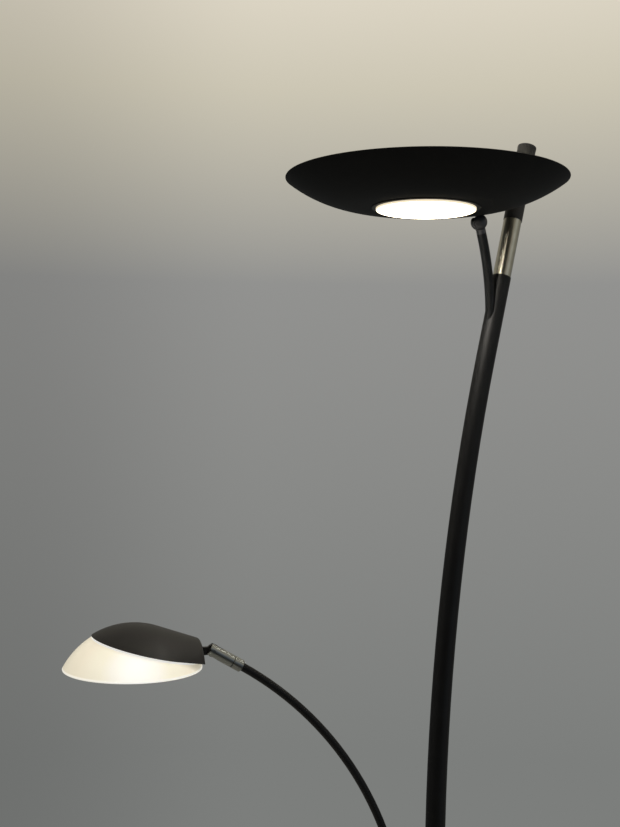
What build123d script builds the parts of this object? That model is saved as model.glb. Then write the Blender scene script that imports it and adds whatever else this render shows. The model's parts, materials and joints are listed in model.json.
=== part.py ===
from build123d import *
import math
import os

os.makedirs("parts", exist_ok=True)

# A torchiere floor lamp with a reading light, in millimetres, +Z up.
# The origin is the centre of the base on the floor. -Y is the front. The pole, its branch and the
# bowl lie in the plane X = 0, and the pole leans back towards +Y. The reading arm lies in its own
# upright plane through the pole, towards the front and the left.

# ---- driving dimensions ---------------------------------------------------------------------

# round base
base_radius = 140.0
base_height = 22.0
base_edge_round = 8.0
cover_wall = 1.6
cover_lift = 1.0
pad_thickness = 2.0
weight_play = 1.0
recess_radius = 22.0
recess_depth = 9.5
channel_width = 12.0
channel_height = 13.0
inlet_height = 9.0
inlet_bore = 6.6
inlet_neck = 9.0
inlet_flange = 14.0
inlet_lip = 1.6
nipple_diameter = 12.0
nipple_bore = 8.0
nipple_above_base = 24.0
nut_flats = 19.0
nut_height = 5.5
washer_diameter = 32.0
washer_height = 2.0
flange_radius = 17.0
flange_height = 7.0
flange_round = 2.0

# pole
pole_diameter = 20.0
pole_wall = 1.5
plug_length = 30.0
lower_section = 509.0
middle_section = 507.0
joiner_ring = 1.5
joiner_spigot = 22.0
joiner_bore = 9.0
spigot_play = 0.1
upper_straight = 55.3
bend_radius = 1689.0
pole_lean = 17.17
connector_start = 92.1
connector_length = 65.5
connector_diameter = 19.0
tip_length = 84.9
end_cap_diameter = 20.4
end_cap_thickness = 2.5
end_cap_spigot = 12.0

# branch that carries the bowl
branch_diameter = 10.0
branch_wall = 1.0
branch_lean = 22.5
branch_tail = 20.0

# ball swivel under the bowl
swivel_place = 12.8
swivel_reach = 6.4
ball_diameter = 17.2
ball_play = 0.3
ball_clearance = 1.2
nod_back = 5.0
nod_forward = 25.0
swivel_neck = 12.0
neck_spigot = 6.0
stem_diameter = 8.0
stem_length = 16.5
stem_washer_diameter = 15.0
stem_washer_height = 1.2
stem_nut_flats = 13.0
stem_nut_height = 5.2
friction_washer = 0.5
friction_washer_diameter = 10.0
swivel_screw_diameter = 4.0
swivel_screw_grip = 5.0
swivel_head_diameter = 7.0
swivel_head_height = 1.7
swivel_head_depth = 2.6
swivel_socket_flats = 2.5
swivel_socket_depth = 1.1

# plays that several pieces share
running_play = 0.05
flat_play = 0.08
seat_gap = 0.3
edge_break = 0.5

# spun bowl
bowl_radius = 138.8
bowl_flat_radius = 57.0
bowl_side_curve = 136.0
bowl_wall = 1.5
bowl_rim_round = 0.6
bowl_forward = 103.4
bowl_rise = 171.2
bowl_hole_radius = 52.0

# light unit in the bowl
carrier_radius = 72.0
carrier_thickness = 2.5
carrier_lift = 5.5
carrier_foot_radius = 56.5
carrier_foot_wall = 3.5
down_ring_wall = 1.8
down_ring_lip = 1.2
down_ring_drop = 0.9
down_ring_rise = 1.8
down_ledge = 0.9
down_ledge_height = 1.2
down_flange = 1.8
down_window_proud = 2.0
down_window_round = 0.8
boss_radius = 2.4
boss_count = 3
board_thickness = 1.6
down_board_radius = 42.0
up_board_radius = 60.0
chip_size = 3.5
chip_height = 0.8
up_chip_radii = (14.0, 32.0, 50.0)
up_chip_counts = (6, 12, 18)
down_chip_radii = (12.0, 30.0)
down_chip_counts = (4, 10)
up_diffuser_radius = 68.4
up_diffuser_skirt = 4.5
up_diffuser_crown = 3.6
up_diffuser_wall = 2.0
up_ring_wall = 3.2
up_ring_height = 3.8
small_screw = 3.0
small_head = 5.6
small_head_height = 1.6
carrier_screw_length = 5.5

# reading arm
arm_bearing = 29.5
arm_offset = 30.3
arm_diameter = 8.0
arm_wall = 1.0
arm_foot_depth = 50.0
arm_bend_height = 997.0
arm_bend_radius = 343.9
arm_sweep = 59.73
sleeve_below_bend = 0.8
sleeve_diameter = 12.0
sleeve_length = 36.0
ferrule_length = 10.0
ferrule_socket = 7.0
stud_diameter = 6.0
stud_length = 10.0
fork_length = 26.0
fork_seam = 0.3
fork_slot_width = 4.4
fork_slot_depth = 12.0
fork_pin_back = 4.0
fork_pin_diameter = 3.0
fork_pin_short = 0.3

# reading head
head_reach = 75.2
head_drop = 12.8
glass_rim_radius = 64.6
glass_height = 39.7
glass_wall = 2.5
glass_rim_round = 0.8
glass_hole_radius = 20.0
cap_wall = 1.2
cap_play = 0.3
cap_edge_height = 21.6
cap_edge_rise = 0.24
neck_slope = 18.3
neck_taper = 45.0
neck_corner = 3.0
neck_back = 62.3
tongue_thickness = 4.0
tongue_radius = 6.0
tongue_height = 7.4
tongue_stem_diameter = 6.0
tongue_stem_length = 3.4
sink_thickness = 4.0
sink_height = 27.0
post_radius = 6.0
reading_board_radius = 25.0
reading_chip_ring = 16.0
reading_chip_count = 8
reading_diffuser_thickness = 2.0
reading_diffuser_height = 2.5
head_screw_diameter = 4.0
head_screw_length = 9.0
head_screw_head = 7.0
head_screw_head_height = 2.6

# control housing on the pole
housing_half_width = 15.0
housing_height = 60.0
housing_round = 2.5
housing_cover_thickness = 2.5
pocket_width = 12.4
pocket_margin = 8.0
bush_diameter = 13.0
bush_length = 50.0
bush_lip_diameter = 17.0
bush_lip = 1.5
button_place = 17.8
button_spacing = 22.0
button_diameter = 10.0
button_proud = 1.5
button_play = 0.2
button_flange = 0.8
button_flange_height = 2.3
button_travel = 0.8
button_edge_round = 0.9
dimmer_board_width = 11.0
dimmer_board_length = 42.0
switch_size = 6.0
switch_height = 3.8
cover_screw_length = 9.0
cover_screw_margin = 5.4
grub_diameter = 4.0
grub_socket = 2.0
grub_sink = 0.5

# ---- frames and places worked out from them ---------------------------------------------------

pole_radius = pole_diameter / 2
pole_bore = pole_radius - pole_wall
spigot_radius = pole_bore - spigot_play

lower_end = base_height + lower_section
middle_start = lower_end + joiner_ring
middle_end = middle_start + middle_section
upper_start = middle_end + joiner_ring
bend_height = upper_start + upper_straight

lean = math.radians(pole_lean)
bend_end = Vector(0, bend_radius * (1 - math.cos(lean)), bend_height + bend_radius * math.sin(lean))
lean_direction = Vector(0, math.sin(lean), math.cos(lean))


def pole_plane(distance):
    """A plane across the straight leaning end of the pole, this far past the end of its bend."""
    return Plane(origin=bend_end + lean_direction * distance, x_dir=(1, 0, 0), z_dir=lean_direction)


# The bowl has a flat middle, and its sides rise from the edge of that on one curve. In an upright
# section the curve's centre stands over the edge of the flat.
bowl_centre_y = bend_end.Y - bowl_forward
bowl_rim_height = bend_end.Z + bowl_rise
bowl_depth = bowl_side_curve - math.sqrt(bowl_side_curve**2 - (bowl_radius - bowl_flat_radius) ** 2)
bowl_floor = bowl_rim_height - bowl_depth
side_centre_height = bowl_floor + bowl_side_curve
bowl_axis = Axis((0, bowl_centre_y, 0), (0, 0, 1))


def bowl_section(height=0.0):
    """The upright plane through the bowl's axis: X is the distance from the axis, Y is up."""
    return Plane(origin=(0, bowl_centre_y, height), x_dir=(1, 0, 0), z_dir=(0, -1, 0))


def bowl_level(height):
    """A level plane on the bowl's axis at this height over the floor."""
    return Plane.XY.offset(height).move(Location((0, bowl_centre_y, 0)))


def skin_height(radius, inside=0.0):
    """Height of the side's skin at this distance from the axis, or of the skin this far inside it."""
    return side_centre_height - math.sqrt((bowl_side_curve - inside) ** 2 - (radius - bowl_flat_radius) ** 2)


# The swivel stands square to the skin: its stem runs from the small ball's centre into the bowl.
place = math.radians(swivel_place)
swivel_axis = Vector(0, -math.sin(place), math.cos(place))
ball_radius = ball_diameter / 2
side_centre = Vector(0, bowl_centre_y + bowl_flat_radius, side_centre_height)
swivel_centre = side_centre - swivel_axis * (bowl_side_curve + swivel_reach)


def swivel_plane(distance):
    """A plane across the swivel's stem, this far above the small ball's centre."""
    return Plane(origin=swivel_centre + swivel_axis * distance, x_dir=(1, 0, 0), z_dir=swivel_axis)


branch_radius = branch_diameter / 2
branch_tilt = math.radians(branch_lean)
branch_down = Vector(0, math.sin(branch_tilt), -math.cos(branch_tilt))
branch_top = swivel_centre + branch_down * swivel_neck
# The branch's bend is as wide as it takes to bring its foot to the pole's own axis.
to_branch_top = branch_top - bend_end
branch_bend_radius = (to_branch_top.Z - branch_tail - to_branch_top.Y / math.tan(lean)) / (
    math.sin(branch_tilt) + (1 - math.cos(branch_tilt)) / math.tan(lean)
)


def neck_plane(distance):
    """A plane across the branch's top end that faces down it, this far from the small ball's centre."""
    return Plane(origin=swivel_centre + branch_down * distance, x_dir=(1, 0, 0), z_dir=branch_down)


# The reading arm's own directions: out from the pole, and square to the arm's upright plane.
bearing = math.radians(arm_bearing)
arm_out = Vector(-math.sin(bearing), -math.cos(bearing), 0)
arm_side = Vector(math.cos(bearing), -math.sin(bearing), 0)
up = Vector(0, 0, 1)
arm_radius = arm_diameter / 2
arm_plane = Plane(origin=(0, 0, 0), x_dir=arm_out, z_dir=-arm_side)


def arm_level(height):
    """A level plane on the pole's axis whose X runs out along the arm and whose Y runs to its side."""
    return Plane(origin=(0, 0, height), x_dir=arm_out, z_dir=up)


sweep_angle = math.radians(arm_sweep)
arm_end_out = arm_offset + arm_bend_radius * (1 - math.cos(sweep_angle))
arm_end_height = arm_bend_height + arm_bend_radius * math.sin(sweep_angle)
arm_end = arm_out * arm_end_out + up * arm_end_height
arm_end_direction = arm_out * math.sin(sweep_angle) + up * math.cos(sweep_angle)


def arm_end_plane(distance):
    """A plane across the arm's end, this far past the end of its bend."""
    return Plane(origin=arm_end + arm_end_direction * distance, x_dir=arm_side, z_dir=arm_end_direction)


sleeve_radius = sleeve_diameter / 2
fork_start = ferrule_length + fork_seam
fork_end = fork_start + fork_length
pin_centre = arm_end + arm_end_direction * (fork_end - fork_pin_back)
pin_plane = Plane(origin=pin_centre, x_dir=arm_out, z_dir=-arm_side)
pin_radius = fork_pin_diameter / 2

# The reading head is placed by the centre of its rim.
rim_centre = pin_centre + arm_out * head_reach - up * head_drop
head_axis = Axis(rim_centre, up)
glass_curve = (glass_rim_radius**2 + glass_height**2) / (2 * glass_height)
glass_drop = glass_curve - glass_height
glass_inner_curve = glass_curve - glass_wall
cap_inner_curve = glass_curve + cap_play
cap_curve = cap_inner_curve + cap_wall
dome_centre = rim_centre - up * glass_drop


def head_level(height):
    """A level plane on the head's axis, this far above its rim, with X towards the head's front."""
    return Plane(origin=rim_centre + up * height, x_dir=arm_out, z_dir=up)


def dome_radius(curve, height):
    """How far a dome of this curve reaches from the head's axis at this height over the rim."""
    return math.sqrt(curve**2 - (height + glass_drop) ** 2)


def countersunk_screw(seat, diameter, head_diameter, head_height, length, play=0.0):
    """A countersunk screw whose head is flush with this plane and whose shank runs against its Z."""
    with BuildPart() as screw:
        with BuildSketch(seat):
            Circle(head_diameter / 2 + play)
        with BuildSketch(seat.offset(-head_height)):
            Circle(diameter / 2 + play)
        loft()
        with BuildSketch(seat.offset(-head_height)):
            Circle(diameter / 2 + play)
        extrude(amount=head_height - length - play)
    return screw.part


# ---- base -------------------------------------------------------------------------------------

weight_radius = base_radius - cover_wall - weight_play
weight_top = base_height - cover_wall
recess_top = pad_thickness + recess_depth
nipple_radius = nipple_diameter / 2
nipple_hole = nipple_radius + running_play
nut_bottom = recess_top - washer_height - nut_height

with BuildPart() as base_cover:
    with BuildSketch(Plane.XY.offset(cover_lift)):
        Circle(base_radius)
    extrude(amount=base_height - cover_lift)
    fillet(base_cover.edges().group_by(Axis.Z)[-1], base_edge_round)
    offset(amount=-cover_wall, openings=base_cover.faces().sort_by(Axis.Z)[0])
    with BuildSketch(Plane.XY.offset(base_height)):
        Circle(nipple_hole)
    extrude(amount=-2 * cover_wall, mode=Mode.SUBTRACT)
    with BuildSketch(Plane.XZ.offset(-base_radius)):
        with Locations((0, inlet_height)):
            Circle(inlet_neck / 2)
    extrude(amount=2 * cover_wall, mode=Mode.SUBTRACT)

with BuildPart() as base_weight:
    with BuildSketch(Plane.XY.offset(pad_thickness)):
        Circle(weight_radius)
    extrude(amount=weight_top - pad_thickness)
    chamfer(base_weight.edges().group_by(Axis.Z)[-1], base_edge_round - cover_wall)
    with BuildSketch(Plane.XY.offset(pad_thickness)):
        Circle(recess_radius)
    extrude(amount=recess_depth, mode=Mode.SUBTRACT)
    with BuildSketch(Plane.XY.offset(pad_thickness)):
        Circle(nipple_hole)
    extrude(amount=weight_top, mode=Mode.SUBTRACT)
    # the cord's way in from the back
    with BuildSketch(Plane.XY.offset(pad_thickness)):
        with Locations((0, weight_radius / 2)):
            Rectangle(channel_width, weight_radius)
    extrude(amount=channel_height - pad_thickness, mode=Mode.SUBTRACT)

with BuildPart() as base_pad:
    with BuildSketch(Plane.XY):
        Circle(weight_radius)
    extrude(amount=pad_thickness)

with BuildPart() as base_washer:
    with BuildSketch(Plane.XY.offset(recess_top - washer_height)):
        Circle(washer_diameter / 2)
        Circle(nipple_hole, mode=Mode.SUBTRACT)
    extrude(amount=washer_height)

with BuildPart() as base_nut:
    with BuildSketch(Plane.XY.offset(nut_bottom)):
        RegularPolygon(nut_flats / 2, 6, major_radius=False)
        Circle(nipple_hole, mode=Mode.SUBTRACT)
    extrude(amount=nut_height)

with BuildPart() as base_nipple:
    with BuildSketch(Plane.XY.offset(nut_bottom)):
        Circle(nipple_radius)
        Circle(nipple_bore / 2, mode=Mode.SUBTRACT)
    extrude(amount=base_height + nipple_above_base - nut_bottom)

with BuildPart() as cord_inlet:
    with BuildSketch(Plane.XZ.offset(-base_radius)):
        with Locations((0, inlet_height)):
            Circle(inlet_neck / 2 - running_play)
    extrude(amount=cover_wall + inlet_lip / 2)
    with BuildSketch(Plane.XZ.offset(-base_radius)):
        with Locations((0, inlet_height)):
            Circle(inlet_flange / 2)
    extrude(amount=-inlet_lip)
    fillet(cord_inlet.edges().group_by(Axis.Y)[-1], inlet_lip / 2)
    with BuildSketch(Plane.XZ.offset(-base_radius - 2 * inlet_lip)):
        with Locations((0, inlet_height)):
            Circle(inlet_bore / 2)
    extrude(amount=cover_wall + 4 * inlet_lip, mode=Mode.SUBTRACT)

with BuildPart() as base_flange:
    with BuildSketch(Plane.XY.offset(base_height)):
        Circle(flange_radius)
        Circle(pole_radius + running_play, mode=Mode.SUBTRACT)
    extrude(amount=flange_height)
    fillet(base_flange.edges().group_by(Axis.Z)[-1].sort_by(SortBy.LENGTH)[-1], flange_round)

# ---- pole -------------------------------------------------------------------------------------

tip_start = connector_start + connector_length
tip_end = tip_start + tip_length

with BuildPart() as pole_plug:
    with BuildSketch(Plane.XY.offset(base_height)):
        Circle(spigot_radius)
        Circle(nipple_hole, mode=Mode.SUBTRACT)
    extrude(amount=plug_length)

with BuildPart() as pole_lower:
    with BuildSketch(Plane.XY.offset(base_height)):
        Circle(pole_radius)
        Circle(pole_bore, mode=Mode.SUBTRACT)
    extrude(amount=lower_section)

with BuildPart() as pole_middle:
    with BuildSketch(Plane.XY.offset(middle_start)):
        Circle(pole_radius)
        Circle(pole_bore, mode=Mode.SUBTRACT)
    extrude(amount=middle_section)


def joiner(seat, length, diameter):
    """A joiner: a ring or sleeve of this length on the plane, with a spigot into each tube."""
    with BuildPart() as piece:
        with BuildSketch(seat.offset(-joiner_spigot)):
            Circle(spigot_radius)
        extrude(amount=length + 2 * joiner_spigot)
        with BuildSketch(seat):
            Circle(diameter / 2)
        extrude(amount=length)
        with BuildSketch(seat.offset(-joiner_spigot)):
            Circle(joiner_bore / 2)
        extrude(amount=length + 2 * joiner_spigot, mode=Mode.SUBTRACT)
    return piece


lower_joiner = joiner(Plane.XY.offset(lower_end), joiner_ring, pole_diameter)
upper_joiner = joiner(Plane.XY.offset(middle_end), joiner_ring, pole_diameter)
pole_connector = joiner(pole_plane(connector_start), connector_length, connector_diameter)

with BuildPart() as pole_upper:
    with BuildLine(Plane.YZ) as upper_route:
        Line((0, upper_start), (0, bend_height))
        JernArc((0, bend_height), (0, 1), bend_radius, -pole_lean)
        Line(bend_end, bend_end + lean_direction * connector_start)
    with BuildSketch(Plane.XY.offset(upper_start)):
        Circle(pole_radius)
        Circle(pole_bore, mode=Mode.SUBTRACT)
    sweep(path=upper_route.line)

with BuildPart() as pole_tip:
    with BuildSketch(pole_plane(tip_start)):
        Circle(pole_radius)
        Circle(pole_bore, mode=Mode.SUBTRACT)
    extrude(amount=tip_length)

with BuildPart() as pole_end_cap:
    with BuildSketch(pole_plane(tip_end)):
        Circle(end_cap_diameter / 2)
    extrude(amount=end_cap_thickness)
    fillet(pole_end_cap.edges().sort_by(Axis.Z)[-1], edge_break)
    with BuildSketch(pole_plane(tip_end)):
        Circle(spigot_radius)
    extrude(amount=-end_cap_spigot)

# ---- branch and ball swivel ---------------------------------------------------------------------

branch_bore = branch_radius - branch_wall

with BuildPart() as bowl_branch:
    with BuildLine(Plane.YZ) as branch_route:
        bend = JernArc(branch_top, branch_down, branch_bend_radius, -branch_lean)
        Line(bend @ 1, (bend @ 1) - up * branch_tail)
    with BuildSketch(neck_plane(swivel_neck)):
        Circle(branch_radius)
        Circle(branch_bore, mode=Mode.SUBTRACT)
    sweep(path=branch_route.line)
    # its foot is shaped to the pole that it is welded to
    with BuildSketch(pole_plane(0)):
        Circle(pole_radius)
    extrude(amount=connector_start, mode=Mode.SUBTRACT)

half_washer = friction_washer / 2
stem_radius = stem_diameter / 2
swivel_screw_radius = swivel_screw_diameter / 2
swivel_screw_hole = swivel_screw_radius + running_play
left_face = Plane(origin=swivel_centre - Vector(half_washer, 0, 0), z_dir=(-1, 0, 0))
right_face = Plane(origin=swivel_centre + Vector(half_washer + flat_play, 0, 0), z_dir=(1, 0, 0))
head_seat = ball_radius - half_washer - swivel_head_depth


def nodded(angle):
    """The plane under the bowl's skin, at this distance from the ball's centre, when the bowl nods."""
    turned = place + math.radians(angle)
    away = Vector(0, -math.sin(turned), math.cos(turned))
    return Plane(origin=swivel_centre + away * (swivel_reach - ball_clearance), z_dir=away)


with BuildPart() as lower_half_ball:
    with Locations(Location(swivel_centre)):
        Sphere(ball_radius)
    with BuildSketch(neck_plane(0)):
        Circle(branch_radius)
    extrude(amount=swivel_neck)
    split(bisect_by=left_face, keep=Keep.TOP)
    # its top is cut away to clear the bowl at both ends of its nod
    split(bisect_by=nodded(-nod_back), keep=Keep.BOTTOM)
    split(bisect_by=nodded(nod_forward), keep=Keep.BOTTOM)

with BuildPart() as swivel_lower:
    # the stalk is round, and stands clear of the other half ball
    with BuildSketch(neck_plane(0)):
        Circle(branch_radius)
    extrude(amount=swivel_neck)
    with Locations(Location(swivel_centre)):
        Sphere(ball_radius + ball_play, mode=Mode.SUBTRACT)
    add(lower_half_ball.part)
    with BuildSketch(neck_plane(swivel_neck)):
        Circle(branch_bore - spigot_play)
    extrude(amount=neck_spigot)
    with BuildSketch(left_face):
        Circle(swivel_screw_hole)
    extrude(amount=ball_diameter, mode=Mode.SUBTRACT)
    with BuildSketch(left_face.offset(head_seat)):
        Circle(swivel_head_diameter / 2 + running_play)
    extrude(amount=swivel_head_depth, mode=Mode.SUBTRACT)

with BuildPart() as swivel_washer:
    with BuildSketch(left_face):
        Circle(friction_washer_diameter / 2)
        Circle(swivel_screw_hole, mode=Mode.SUBTRACT)
    extrude(amount=-friction_washer)

with BuildPart() as swivel_upper:
    with Locations(Location(swivel_centre)):
        Sphere(ball_radius)
    split(bisect_by=swivel_plane(swivel_reach), keep=Keep.BOTTOM)
    split(bisect_by=right_face, keep=Keep.TOP)
    with BuildSketch(swivel_plane(swivel_reach)):
        Circle(stem_radius)
    extrude(amount=stem_length - swivel_reach)
    with BuildSketch(right_face):
        Circle(swivel_screw_radius)
    extrude(amount=swivel_screw_grip + seat_gap, mode=Mode.SUBTRACT)

with BuildPart() as swivel_screw:
    with BuildSketch(left_face.offset(head_seat + flat_play)):
        Circle(swivel_head_diameter / 2)
    extrude(amount=swivel_head_height)
    with BuildSketch(left_face.offset(head_seat + flat_play)):
        Circle(swivel_screw_radius)
    extrude(amount=-(head_seat + friction_washer + swivel_screw_grip))
    with BuildSketch(left_face.offset(head_seat + flat_play + swivel_head_height)):
        RegularPolygon(swivel_socket_flats / 2, 6, major_radius=False)
    extrude(amount=-swivel_socket_depth, mode=Mode.SUBTRACT)

# ---- bowl -------------------------------------------------------------------------------------

inner_curve = bowl_side_curve - bowl_wall
rim_inner_radius = bowl_flat_radius + (bowl_radius - bowl_flat_radius) * inner_curve / bowl_side_curve
nut_seat = swivel_reach + bowl_wall + seat_gap

with BuildPart() as bowl_shell:
    with BuildSketch(bowl_section()) as bowl_profile:
        with BuildLine():
            outer_flat = (bowl_flat_radius, bowl_floor)
            inner_flat = (bowl_flat_radius, bowl_floor + bowl_wall)
            outer_rim = (bowl_radius, bowl_rim_height)
            inner_rim = (rim_inner_radius, skin_height(rim_inner_radius, bowl_wall))
            hole_edge = (bowl_hole_radius, bowl_floor)
            RadiusArc(outer_flat, outer_rim, -bowl_side_curve)
            Line(outer_rim, inner_rim)
            RadiusArc(inner_flat, inner_rim, -inner_curve)
            Polyline(inner_flat, (bowl_hole_radius, bowl_floor + bowl_wall), hole_edge, outer_flat)
        make_face()
        fillet(bowl_profile.vertices().sort_by(Axis.Y)[-2:], bowl_rim_round)
    revolve(axis=bowl_axis)
    with BuildSketch(swivel_plane(swivel_reach - bowl_wall)):
        Circle(stem_radius + running_play)
    extrude(amount=3 * bowl_wall, mode=Mode.SUBTRACT)

with BuildPart() as swivel_nut_washer:
    with BuildSketch(swivel_plane(nut_seat)):
        Circle(stem_washer_diameter / 2)
        Circle(stem_radius + running_play, mode=Mode.SUBTRACT)
    extrude(amount=stem_washer_height)

with BuildPart() as swivel_nut:
    with BuildSketch(swivel_plane(nut_seat + stem_washer_height)):
        RegularPolygon(stem_nut_flats / 2, 6, major_radius=False)
        Circle(stem_radius + running_play, mode=Mode.SUBTRACT)
    extrude(amount=stem_nut_height)

# the light unit: the carrier plate's foot clamps the shell's flat against the ring below it
carrier_bottom = bowl_floor + carrier_lift
carrier_foot_bottom = bowl_floor + bowl_wall + flat_play
carrier_top = carrier_bottom + carrier_thickness
ring_outer = bowl_hole_radius - running_play
ring_inner = ring_outer - down_ring_wall
ring_opening = ring_inner - down_ledge
lip_bottom = bowl_floor - flat_play - down_ring_drop
down_flange_bottom = lip_bottom + down_ledge_height
down_diffuser_top = down_flange_bottom + down_flange
ring_top = down_diffuser_top + down_ring_rise
boss_ring = ring_inner - boss_radius + down_ledge

with BuildPart() as carrier_screws:
    with BuildSketch(bowl_level(carrier_top)) as screw_places:
        with PolarLocations(boss_ring, boss_count, start_angle=90):
            Circle(small_screw / 2)
    screw_spots = [face.center() for face in screw_places.sketch.faces()]
    for spot in screw_spots:
        seat = Plane(origin=spot, z_dir=up)
        add(countersunk_screw(seat, small_screw, small_head, small_head_height, carrier_screw_length))

with BuildPart() as bowl_carrier:
    with BuildSketch(bowl_level(carrier_bottom)):
        Circle(carrier_radius)
    extrude(amount=carrier_thickness)
    with BuildSketch(bowl_level(carrier_foot_bottom)):
        Circle(carrier_foot_radius)
        Circle(carrier_foot_radius - carrier_foot_wall, mode=Mode.SUBTRACT)
    extrude(amount=carrier_bottom - carrier_foot_bottom)
    for spot in screw_spots:
        seat = Plane(origin=spot, z_dir=up)
        add(
            countersunk_screw(
                seat, small_screw, small_head, small_head_height, carrier_screw_length, running_play
            ),
            mode=Mode.SUBTRACT,
        )

with BuildPart() as down_ring:
    with BuildSketch(bowl_level(lip_bottom)):
        Circle(bowl_hole_radius + down_ring_lip)
    extrude(amount=down_ring_drop)
    fillet(down_ring.edges().group_by(Axis.Z)[0], edge_break)
    with BuildSketch(bowl_level(lip_bottom + down_ring_drop)):
        Circle(ring_outer)
    extrude(amount=ring_top - lip_bottom - down_ring_drop)
    with BuildSketch(bowl_level(down_flange_bottom)):
        Circle(ring_inner)
    extrude(amount=ring_top - down_flange_bottom, mode=Mode.SUBTRACT)
    with BuildSketch(bowl_level(lip_bottom)):
        Circle(ring_opening)
    extrude(amount=down_ledge_height, mode=Mode.SUBTRACT)
    with BuildSketch(bowl_level(down_diffuser_top + flat_play)):
        with PolarLocations(boss_ring, boss_count, start_angle=90):
            Circle(boss_radius)
            Circle(small_screw / 2 + running_play, mode=Mode.SUBTRACT)
    extrude(amount=carrier_bottom - down_diffuser_top - flat_play)

with BuildPart() as down_diffuser:
    # its window stands proud of the ring, and its flange rests on the ring's ledge
    with BuildSketch(bowl_level(lip_bottom - down_window_proud)):
        Circle(ring_opening - running_play)
    extrude(amount=down_window_proud + down_ledge_height)
    fillet(down_diffuser.edges().group_by(Axis.Z)[0], down_window_round)
    with BuildSketch(bowl_level(down_flange_bottom)):
        Circle(ring_inner - running_play)
    extrude(amount=down_flange)

with BuildPart() as down_led_board:
    with BuildSketch(bowl_level(carrier_bottom)):
        Circle(down_board_radius)
    extrude(amount=-board_thickness)

with BuildPart() as up_led_board:
    with BuildSketch(bowl_level(carrier_top)):
        Circle(up_board_radius)
    extrude(amount=board_thickness)


def led_chips(seat, radii, counts, height):
    """Square light chips in rings on this plane, each a separate solid."""
    with BuildPart() as chips:
        for radius, count in zip(radii, counts):
            with BuildSketch(seat):
                with PolarLocations(radius, count):
                    Rectangle(chip_size, chip_size)
            extrude(amount=height)
    return chips


down_chip_seat = bowl_level(carrier_bottom - board_thickness)
up_chip_seat = bowl_level(carrier_top + board_thickness)
down_leds = led_chips(down_chip_seat, down_chip_radii, down_chip_counts, -chip_height)
up_leds = led_chips(up_chip_seat, up_chip_radii, up_chip_counts, chip_height)

shoulder = carrier_top + up_diffuser_skirt
crown_curve = (up_diffuser_radius**2 + up_diffuser_crown**2) / (2 * up_diffuser_crown)
inner_radius = up_diffuser_radius - up_diffuser_wall
inner_shoulder = shoulder + up_diffuser_crown - crown_curve + math.sqrt(
    (crown_curve - up_diffuser_wall) ** 2 - inner_radius**2
)

with BuildPart() as up_diffuser:
    with BuildSketch(bowl_section()):
        with BuildLine():
            crown_top = (0, shoulder + up_diffuser_crown)
            crown_inside = (0, shoulder + up_diffuser_crown - up_diffuser_wall)
            RadiusArc(crown_top, (up_diffuser_radius, shoulder), crown_curve)
            Polyline(
                (up_diffuser_radius, shoulder),
                (up_diffuser_radius, carrier_top),
                (inner_radius, carrier_top),
                (inner_radius, inner_shoulder),
            )
            RadiusArc(crown_inside, (inner_radius, inner_shoulder), crown_curve - up_diffuser_wall)
            Line(crown_inside, crown_top)
        make_face()
    revolve(axis=bowl_axis)

with BuildPart() as up_ring:
    with BuildSketch(bowl_level(carrier_top)):
        Circle(up_diffuser_radius + running_play + up_ring_wall)
        Circle(up_diffuser_radius + running_play, mode=Mode.SUBTRACT)
    extrude(amount=up_ring_height)
    chamfer(up_ring.edges().group_by(Axis.Z)[-1].sort_by(SortBy.LENGTH)[-1], edge_break)

# ---- control housing --------------------------------------------------------------------------

sleeve_top = arm_bend_height - sleeve_below_bend
sleeve_bottom = sleeve_top - sleeve_length
housing_top = sleeve_bottom - flat_play - bush_lip
housing_bottom = housing_top - housing_height
housing_middle = housing_bottom + housing_height / 2
bush_radius = bush_diameter / 2
arm_foot = housing_top + bush_lip - arm_foot_depth
cover_face = housing_half_width - housing_cover_thickness
button_radius = button_diameter / 2
button_back = cover_face - flat_play - button_flange_height
switch_top = button_back - button_travel - flat_play
board_front = switch_top - switch_height
board_back = board_front - board_thickness
button_heights = (housing_middle - button_spacing / 2, housing_middle + button_spacing / 2)
cover_screw_heights = (housing_bottom + cover_screw_margin, housing_top - cover_screw_margin)


def face_plane(depth):
    """The housing's upright plane this far to the arm's side; its X runs in towards the pole."""
    return Plane(origin=arm_side * depth, x_dir=-arm_out, z_dir=arm_side)


def housing_block():
    """The housing before it is parted into body and cover: a rounded upright bar round pole and arm."""
    with BuildPart() as block:
        with BuildSketch(arm_level(housing_bottom)):
            with Locations((arm_offset / 2, 0)):
                SlotCenterToCenter(arm_offset, 2 * housing_half_width)
        extrude(amount=housing_height)
        ends = block.edges().group_by(Axis.Z)
        fillet(ends[0] + ends[-1], housing_round)
    return block.part


def cover_screw(height, play=0.0):
    """One of the countersunk screws that hold the housing's cover."""
    seat = face_plane(housing_half_width)
    seat.origin = seat.from_local_coords((-button_place, height, 0))
    return countersunk_screw(seat, small_screw, small_head, small_head_height, cover_screw_length, play)


def grub_hole(outwards, depth, radius, inwards):
    """A round bar that starts at this place out along the arm's plane and runs this far inwards."""
    start = arm_out * outwards + up * housing_middle
    with BuildPart() as bar:
        with BuildSketch(Plane(origin=start, z_dir=arm_out * inwards)):
            Circle(radius)
        extrude(amount=depth)
    return bar.part


pole_grub_start = grub_sink - housing_half_width
pole_grub_length = -pole_grub_start - pole_radius - running_play
arm_grub_start = arm_offset + housing_half_width - grub_sink
arm_grub_length = housing_half_width - grub_sink - bush_radius - 2 * running_play

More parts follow.
